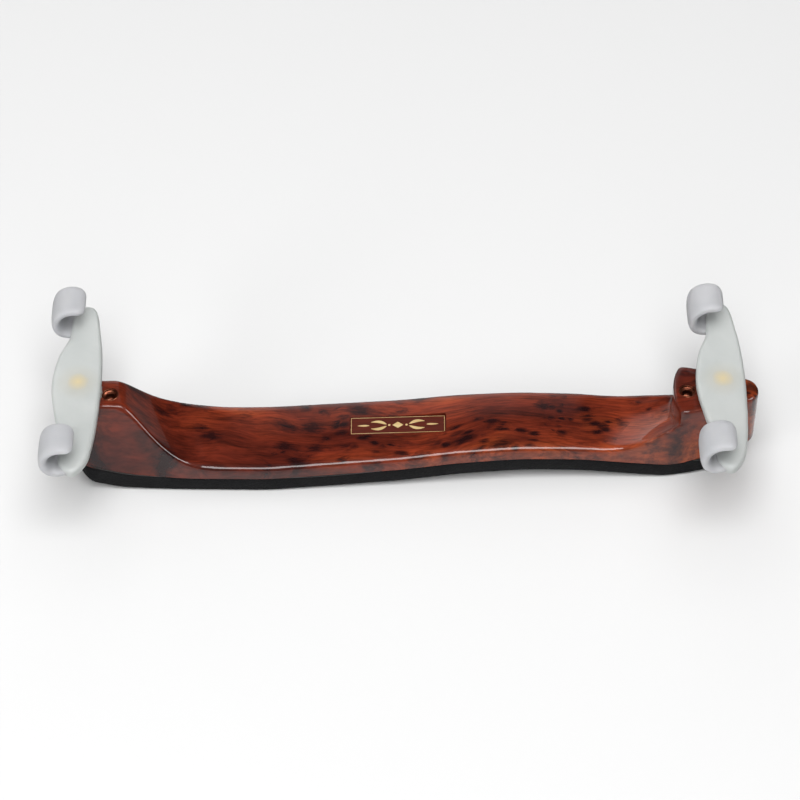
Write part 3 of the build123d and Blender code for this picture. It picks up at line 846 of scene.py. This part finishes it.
def make_foam():
    """The foam strip: follows the underside, with slightly soft rims."""
    xs = np.linspace(FOAM_LEFT, FOAM_RIGHT, 120)
    front = np.column_stack([xs, flow(FRONT_EDGE, xs) + FOAM_INSET])
    back = np.column_stack([xs, flow(BACK_EDGE, xs) - FOAM_INSET])
    nose_turn = np.linspace(-math.pi / 2, math.pi / 2, 24)[1:-1]
    middle = (front[-1, 1] + back[-1, 1]) / 2
    half = (back[-1, 1] - front[-1, 1]) / 2
    nose = np.column_stack([FOAM_RIGHT + FOAM_NOSE * np.cos(nose_turn), middle + half * np.sin(nose_turn)])
    loop = np.concatenate([front, nose, back[::-1]])
    for point in loop:
        reach = max(0.0, (FOAM_LEFT + FOAM_CORNER - point[0]) / FOAM_CORNER)
        drawn = FOAM_CORNER * (1 - math.sqrt(max(0.0, 1 - reach ** 2)))
        centre = (front[0, 1] + back[0, 1]) / 2
        point[1] += drawn if point[1] < centre else -drawn
    loop = closed_spline(loop[::3], 520)
    rings = []
    for share, draw in ((0.0, 0.25), (0.04, 0.0), (0.8, 0.0), (0.92, 0.15), (0.98, 0.5), (1.0, 1.2)):
        ring = inset(loop, draw)
        drop = FILM_THICKNESS + share * FOAM_THICKNESS
        rings.append(np.column_stack([ring, flow(UNDERSIDE, ring[:, 0]) - drop]))
    points = placed(np.concatenate(rings))
    foam = mesh_piece("foam", points, tube_faces(len(rings), len(loop)), FOAM)
    outwards(foam, 60)
    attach(foam, "rest_body")
    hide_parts("foam_pad")
    return foam


# ---- Turned parts -----------------------------------------------------------------------------------------

def revolved(name, profile, centre, material, count=96, swell=None):
    """A ring turned from a closed (radius, height) profile in millimetres, its rim shaped by a swell."""
    turns = np.linspace(0, 2 * math.pi, count, endpoint=False)
    rings = []
    for turn in turns:
        ring = []
        for radius, height in profile:
            r = radius + (swell(turn, radius) if swell else 0.0)
            ring.append((r * math.cos(turn), r * math.sin(turn), height))
        rings.append(ring)
    size = len(profile)
    faces = []
    for i in range(count):
        a, b = i * size, (i + 1) % count * size
        faces += [(a + k, b + k, b + (k + 1) % size, a + (k + 1) % size) for k in range(size)]
    points = np.concatenate(rings) * MM + np.array(centre)
    return mesh_piece(name, points, faces, material)


def make_thread_tree():
    """Geometry Nodes: a helical ridge of a given radius, pitch, turns and depth, on a solid core."""
    tree = bpy.data.node_groups.new("screw thread", "GeometryNodeTree")
    tree.interface.new_socket("Geometry", in_out="INPUT", socket_type="NodeSocketGeometry")
    for label in ("Radius", "Pitch", "Turns", "Depth", "Core Radius"):
        tree.interface.new_socket(label, in_out="INPUT", socket_type="NodeSocketFloat")
    tree.interface.new_socket("Start", in_out="INPUT", socket_type="NodeSocketVector")
    tree.interface.new_socket("Material", in_out="INPUT", socket_type="NodeSocketMaterial")
    tree.interface.new_socket("Geometry", in_out="OUTPUT", socket_type="NodeSocketGeometry")
    n = Nodes(tree)
    given = n.add("NodeGroupInput").outputs
    height = n.math("MULTIPLY", given["Pitch"], given["Turns"])
    spiral = n.add("GeometryNodeCurveSpiral", {
        "Resolution": 40, "Rotations": given["Turns"], "Start Radius": given["Radius"],
        "End Radius": given["Radius"], "Height": height,
    })
    ridge = n.add("GeometryNodeCurvePrimitiveCircle", {"Resolution": 4, "Radius": given["Depth"]})
    swept = n.add("GeometryNodeCurveToMesh", {
        "Curve": spiral.outputs[0], "Profile Curve": ridge.outputs[0], "Fill Caps": True,
    })
    core = n.add("GeometryNodeMeshCylinder", {
        "Vertices": 48, "Radius": given["Core Radius"], "Depth": height,
    })
    half = n.math("MULTIPLY", height, 0.5)
    lift = n.add("ShaderNodeCombineXYZ", {"Z": half}).outputs[0]
    raised = n.add("GeometryNodeTransform", {"Geometry": core.outputs[0], "Translation": lift})
    together = n.add("GeometryNodeJoinGeometry")
    for part in (swept, raised):
        tree.links.new(part.outputs[0], together.inputs[0])
    moved = n.add("GeometryNodeTransform", {"Geometry": together.outputs[0], "Translation": given["Start"]})
    real = n.add("GeometryNodeRealizeInstances", {"Geometry": moved.outputs[0]})
    painted = n.add("GeometryNodeSetMaterial", {"Geometry": real.outputs[0], "Material": given["Material"]})
    n.add("NodeGroupOutput", {0: painted.outputs[0]})
    return tree


def grown(name, tree, material, **values):
    """A plain mesh from a Geometry Nodes tree and its named inputs."""
    host = mesh_piece(name, [], [], material)
    grow = host.modifiers.new("grow", "NODES")
    grow.node_group = tree
    for item in tree.interface.items_tree:
        label = item.name.replace(" ", "_").lower()
        if item.in_out == "INPUT" and label in values:
            grow[item.identifier] = values[label]
        if item.in_out == "INPUT" and label == "material":
            grow[item.identifier] = material
    return baked(host)


THREAD = make_thread_tree()
INSERT_TURNS = 14.0
THREAD_SEEN = 0.36           # size of the ridge in a bore that stands open
THREAD_HIDDEN = 0.04         # and in one that a stud fills


def make_inserts():
    """Bronzed threaded tubes, a little below the tower's face, each with a bevelled mouth."""
    for name, centre, length in insert_centres():
        deep = -length / MM
        mouth = [
            (2.57, deep), (2.57, -0.22), (2.49, -0.1), (2.38, -0.1), (2.3, -0.2), (2.2, -0.12), (2.12, -0.3),
            (2.06, deep * 0.3), (2.06, deep),
        ]
        tube = revolved("tube", mouth, centre, BRONZE, 72)
        ridge = grown(
            "ridge", THREAD, BRONZE, radius=2.08 * MM, pitch=THREAD_PITCH * MM, turns=INSERT_TURNS,
            depth=(THREAD_SEEN if name.endswith("inner") else THREAD_HIDDEN) * MM, core_radius=0.0,
            start=centre - Vector((0, 0, length - 0.5 * MM)),
        )
        insert = joined(name.replace("insert", "threaded_insert"), [tube, ridge])
        outwards(insert, 30)
        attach(insert, "rest_body")
        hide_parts(name)


# ---- Feet -------------------------------------------------------------------------------------------------

class Foot:
    """Where one foot stands: its screw axis, the tower's top and its yaw, with its stud's and wheel's
    heights.
    """

    def __init__(self, side, yaw_deg):
        self.side = side
        low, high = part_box(side + "_stud")
        wheel_low, self.wheel_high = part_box(side + "_lock_wheel")
        fork_low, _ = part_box(side + "_fork")
        self.stud_low, self.stud_high = low, high
        self.axis = Vector(((low.x + high.x) / 2, (low.y + high.y) / 2, fork_low.z))
        self.wheel_base = wheel_low.z
        self.turn = Matrix.Translation(self.axis) @ Matrix.Rotation(math.radians(yaw_deg), 4, "Z")

    def placed(self, points):
        """Points drawn about the screw axis and the fork's underside, in the frame."""
        return [self.turn @ Vector(tuple(np.asarray(p, float) * MM)) for p in points]


def claw_path(steps=15):
    """The claw's centre line across the fork: a low arc, an upright and the hook, as (x, z) points."""
    radius = CLAW_INNER + CLAW_THICKNESS / 2
    low = CLAW_INNER + CLAW_THICKNESS
    high = low + CLAW_UPRIGHT
    hook = HOOK_INNER + CLAW_THICKNESS / 2
    wall_x = CLAW_CENTRE_X - radius
    path = [(CLAW_CENTRE_X + 3.3, low - radius + 0.2), (CLAW_CENTRE_X + 1.6, low - radius + 0.06)]
    for turn in np.linspace(0, math.pi / 2, steps):
        path.append((CLAW_CENTRE_X - radius * math.sin(turn), low - radius * math.cos(turn)))
    for turn in np.linspace(0, math.radians(HOOK_TURN + 8), steps + 5):
        path.append((wall_x + hook * (1 - math.cos(turn)), high + hook * math.sin(turn)))
    return np.array(path)


def swept_strip(path, widths, thicknesses, centre_y, corner=3.2, around=32):
    """Rings of a round-cornered strip along an (x, z) path, with a width and thickness at each point."""
    ahead = np.gradient(path, axis=0)
    ahead /= np.linalg.norm(ahead, axis=1)[:, None]
    rings = []
    for (x, z), (tx, tz), width, thick in zip(path, ahead, widths, thicknesses):
        ring = []
        for turn in np.linspace(0, 2 * math.pi, around, endpoint=False):
            c, s = math.cos(turn), math.sin(turn)
            across = width / 2 * math.copysign(abs(c) ** (2 / corner), c)
            out = thick / 2 * math.copysign(abs(s) ** (2 / 2.6), s)
            ring.append((x - tz * out, centre_y + across, z + tx * out))
        rings.append(ring)
    return rings


def resampled(path, count):
    """A path with points evenly spread along it, and how far along each is, from 0 to 1."""
    along = np.concatenate([[0], np.cumsum(np.linalg.norm(np.diff(path, axis=0), axis=1))])
    even = np.linspace(0, along[-1], count)
    return np.stack([np.interp(even, along, path[:, k]) for k in (0, 1)], axis=1), even / along[-1]


def make_claw(foot, label, centre_y):
    """A soft claw: full at its wall, narrower at the root, with a rounded tip that dips to the leaf."""
    path, share = resampled(claw_path(), 72)
    widths = CLAW_WIDTH * np.interp(share, (0, 0.14, 0.34, 0.6, 0.85, 1), (0.74, 0.88, 1.0, 1.0, 0.93, 0.84))
    thicknesses = CLAW_THICKNESS * np.interp(share, (0, 0.1, 0.3, 0.7, 1), (0.5, 0.86, 1.02, 1.0, 0.94))
    for end, reach in ((share, 0.03), (1 - share, 0.11)):
        close = np.sqrt(1 - (1 - np.clip(end / reach, 0, 1)) ** 2)
        widths = widths * (0.5 + 0.5 * close)
        thicknesses = thicknesses * (0.12 + 0.88 * close)
    rings = swept_strip(path, widths, thicknesses, centre_y, 3.6, 40)
    points = foot.placed(np.concatenate(rings))
    claw = mesh_piece(f"{foot.side}_{label}_soft_claw", points, tube_faces(len(rings), len(rings[0])), CLAW)
    outwards(claw, 70)
    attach(claw, foot.side + "_foot")
    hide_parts(f"{foot.side}_{label}_claw")


def make_fork(foot):
    """The leaf with its rounded rim and moulding mark, and the cores that curl up inside the claws."""
    loop = closed_spline(FORK_OUTLINE, 260)
    rings = rounded_slab(loop, 0.0, FORK_THICKNESS, 1.1, 1.3, 6)
    plastic = FORKS[foot.side]
    leaf = mesh_piece("leaf", foot.placed(np.concatenate(rings)), tube_faces(len(rings), len(loop)), plastic)
    dome = [(0.02, -0.3), (1.5, -0.3), (1.5, 0.02), (1.35, 0.06), (1.1, 0.02), (0.02, -0.02)]
    dome_middle = foot.placed([(*MOULD_MARK, FORK_THICKNESS)])[0]
    mark = revolved("mark", dome, dome_middle, plastic, 48)
    pieces = [leaf, mark]
    path, _ = resampled(claw_path(), 40)
    inside = path[:24]
    widths = np.full(len(inside), CORE_WIDTH)
    thicknesses = np.full(len(inside), CORE_THICKNESS)
    for centre_y in CLAW_CENTRES_Y:
        core = swept_strip(inside, widths, thicknesses, centre_y, 4.0, 16)
        points = foot.placed(np.concatenate(core))
        pieces.append(mesh_piece("core", points, tube_faces(len(core), 16), plastic))
    fork = joined(foot.side + "_frosted_fork", pieces)
    outwards(fork, 50)
    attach(fork, foot.side + "_foot")
    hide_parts(foot.side + "_fork")


def make_wheel(foot):
    """The toothed lock wheel: a disc with a ribbed, chamfered rim and a shallow ring groove on its face."""
    def tooth(turn, radius):
        rim = max(0.0, (radius - WHEEL_RADIUS + 1.2) / 1.2)
        wave = 0.5 + 0.5 * math.cos(WHEEL_TEETH * turn)
        return -0.55 * rim * (1 - wave ** 0.5)

    rim, tall = WHEEL_RADIUS, WHEEL_THICKNESS
    profile = [
        (2.08, 0.0), (rim - 0.9, 0.0), (rim - 0.35, 0.12), (rim, 0.5), (rim, tall - 0.5),
        (rim - 0.35, tall - 0.12), (rim - 0.9, tall), (4.8, tall), (4.6, tall - 0.15), (4.2, tall - 0.15),
        (4.0, tall), (2.08, tall),
    ]
    centre = Vector((foot.axis.x, foot.axis.y, foot.wheel_base))
    wheel = revolved(foot.side + "_ribbed_wheel", profile, centre, WHEEL, WHEEL_TEETH * 10, tooth)
    outwards(wheel, 45)
    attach(wheel, foot.side + "_wheel")
    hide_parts(foot.side + "_lock_wheel")


def make_stud(foot):
    """The threaded stud with a plain head end, a shallow round socket in its top, inside the collar."""
    length = (foot.stud_high.z - foot.stud_low.z) / MM
    turns = (length - 2.4) / THREAD_PITCH
    screw = grown(
        "screw", THREAD, BRASS, radius=(THREAD_RADIUS - 0.26) * MM, pitch=THREAD_PITCH * MM, turns=turns,
        depth=0.25 * MM, core_radius=(THREAD_RADIUS - 0.3) * MM,
        start=Vector((foot.axis.x, foot.axis.y, foot.stud_low.z + 0.3 * MM)),
    )
    top = Vector((foot.axis.x, foot.axis.y, foot.stud_high.z))
    head = [(0.02, -3.0), (1.96, -3.0), (1.96, -0.25), (1.7, 0.0), (0.9, 0.0), (0.7, -0.5), (0.02, -0.6)]
    neck = revolved("neck", head, top, BRASS, 64)
    stud = joined(foot.side + "_threaded_stud", [screw, neck])
    outwards(stud, 35)
    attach(stud, foot.side + "_foot")
    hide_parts(foot.side + "_stud")


def make_collar(foot):
    """The brass collar in the fork, knurled so that the plastic grips it."""
    low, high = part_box(foot.side + "_collar")
    tall = (high.z - low.z) / MM
    outer = (high.x - low.x) / 2 / MM

    def knurl(turn, radius):
        return -0.16 * (0.5 + 0.5 * math.cos(36 * turn)) if radius > outer - 0.1 else 0.0

    profile = [
        (2.02, -tall), (outer - 0.25, -tall), (outer, -tall + 0.25), (outer, -0.25), (outer - 0.25, 0.0),
        (2.9, 0.0), (2.7, -0.12), (2.02, -0.12),
    ]
    centre = Vector((foot.axis.x, foot.axis.y, high.z))
    collar = revolved(foot.side + "_knurled_collar", profile, centre, BRASS, 288, knurl)
    outwards(collar, 35)
    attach(collar, foot.side + "_foot")
    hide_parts(foot.side + "_collar")


# ---- Main -------------------------------------------------------------------------------------------------

make_body()
make_emblem()
make_foam()
make_inserts()
for side, yaw_deg in FEET:
    foot = Foot(side, yaw_deg)
    make_fork(foot)
    for label, centre_y in zip(("front", "rear"), CLAW_CENTRES_Y):
        make_claw(foot, label, centre_y)
    make_wheel(foot)
    make_stud(foot)
    make_collar(foot)


# ---- Floor, light and camera ------------------------------------------------------------------------------

FLOOR_HALF = 6.0             # metres, as are the places and sizes from here on
FLOOR_SPLIT = 0.03
FLOOR_GREY = 0.66
BACKDROP_LEFT = -2.0
BACKDROP_RIGHT = 4.0
BACKDROP_BACK = 1.5
BACKDROP_HEIGHT = 3.0
BACKDROP_GLOW = 1.3
CAMERA_ELEVATION_DEG = 50.2
CAMERA_DISTANCE = 1.0
CAMERA_LENS = 146.6          # millimetres
CAMERA_TARGET = Vector((-0.0011, 0.0, 0.0297))
ROOM_LIGHT = 0.18
OBJECT_MIDDLE = (0, 0, 0)


def make_stage():
    """A wide pale floor in two halves. The rear half isn't mirrored in the lacquer."""
    material, _, shader = new_material("pale_floor")
    shader.inputs["Base Color"].default_value = (FLOOR_GREY, FLOOR_GREY, FLOOR_GREY, 1)
    shader.inputs["Roughness"].default_value = 0.9
    shader.inputs["Specular IOR Level"].default_value = 0.1
    half = FLOOR_HALF
    for name, front, rear, mirrored in (
        ("front_floor", -half, FLOOR_SPLIT, True), ("rear_floor", FLOOR_SPLIT, half, False),
    ):
        corners = [(-half, front, 0.0), (half, front, 0.0), (half, rear, 0.0), (-half, rear, 0.0)]
        floor = mesh_piece(name, corners, [(0, 1, 2, 3)], material)
        floor.visible_glossy = mirrored


def make_backdrop():
    """A glowing upright sheet behind the object: bright low down, fading half-way up and to the right."""
    material, n, shader = new_material("backdrop_glow")
    spot = n.add("ShaderNodeSeparateXYZ", {"Vector": object_vector(n)})
    upward = n.ramp(n.math("DIVIDE", spot.outputs["Z"], BACKDROP_HEIGHT), (0.40, 1.0), (0.62, 0.0))
    sideways = n.ramp(
        n.math("ADD", n.math("MULTIPLY", spot.outputs["X"], 0.25), 0.5),
        (0.05, 1.0), (0.20, 0.9), (0.32, 0.35), (0.42, 0.8), (0.52, 0.8), (0.64, 0.0),
    )
    glow = n.math("MULTIPLY", upward, sideways)
    shader.inputs["Base Color"].default_value = (0.02, 0.02, 0.02, 1)
    shader.inputs["Emission Color"].default_value = (1, 1, 1, 1)
    n.tree.links.new(n.math("MULTIPLY", glow, BACKDROP_GLOW), shader.inputs["Emission Strength"])
    left, right, back, top = BACKDROP_LEFT, BACKDROP_RIGHT, BACKDROP_BACK, BACKDROP_HEIGHT
    corners = [(left, back, 0), (right, back, 0), (right, back, top), (left, back, top)]
    sheet = mesh_piece("backdrop", corners, [(0, 1, 2, 3)], material)


def make_light(name, place, size, power, mirrored=True, lights=True):
    """A soft square area light aimed at the object. It can be left out of mirrored or of matt light."""
    light = bpy.data.lights.new(name, "AREA")
    light.shape = "SQUARE"
    light.size = size
    light.energy = power
    lamp = bpy.data.objects.new(name, light)
    lamp.location = place
    lamp.visible_glossy = mirrored
    lamp.visible_diffuse = lights
    lamp.rotation_euler = (Vector(OBJECT_MIDDLE) - Vector(place)).to_track_quat("-Z", "Y").to_euler()
    bpy.context.scene.collection.objects.link(lamp)


def make_camera():
    """A long lens, square on to the front and looking down at a little over half a right angle."""
    elevation = math.radians(CAMERA_ELEVATION_DEG)
    camera = bpy.data.cameras.new("camera")
    camera.sensor_width = 36.0
    camera.lens = CAMERA_LENS
    camera.clip_start = 0.01
    eye = bpy.data.objects.new("camera", camera)
    eye.location = CAMERA_TARGET + Vector((0, -math.cos(elevation), math.sin(elevation))) * CAMERA_DISTANCE
    eye.rotation_euler = (math.pi / 2 - elevation, 0, 0)
    bpy.context.scene.collection.objects.link(eye)
    bpy.context.scene.camera = eye


make_stage()
make_backdrop()
make_light("overhead", (0.0, -0.5, 1.3), size=0.8, power=17.0)
make_light("top_fill", (0.0, 0.2, 1.6), size=1.8, power=11.5, mirrored=False)
make_light("front_strip", (0.0, -1.3, 0.9), size=0.7, power=3.0, mirrored=False)
make_light("left_box", (-1.0, -0.75, 0.55), size=0.42, power=4.6)
make_light("ridge_box", (0.87, -0.32, 0.84), size=0.5, power=8.0, lights=False)
world = bpy.data.worlds.new("studio")
world.use_nodes = True
room = world.node_tree.nodes["Background"]
room.inputs["Color"].default_value = (1, 1, 1, 1)
room.inputs["Strength"].default_value = ROOM_LIGHT
bpy.context.scene.world = world
bpy.context.scene.view_settings.view_transform = "Standard"
make_camera()
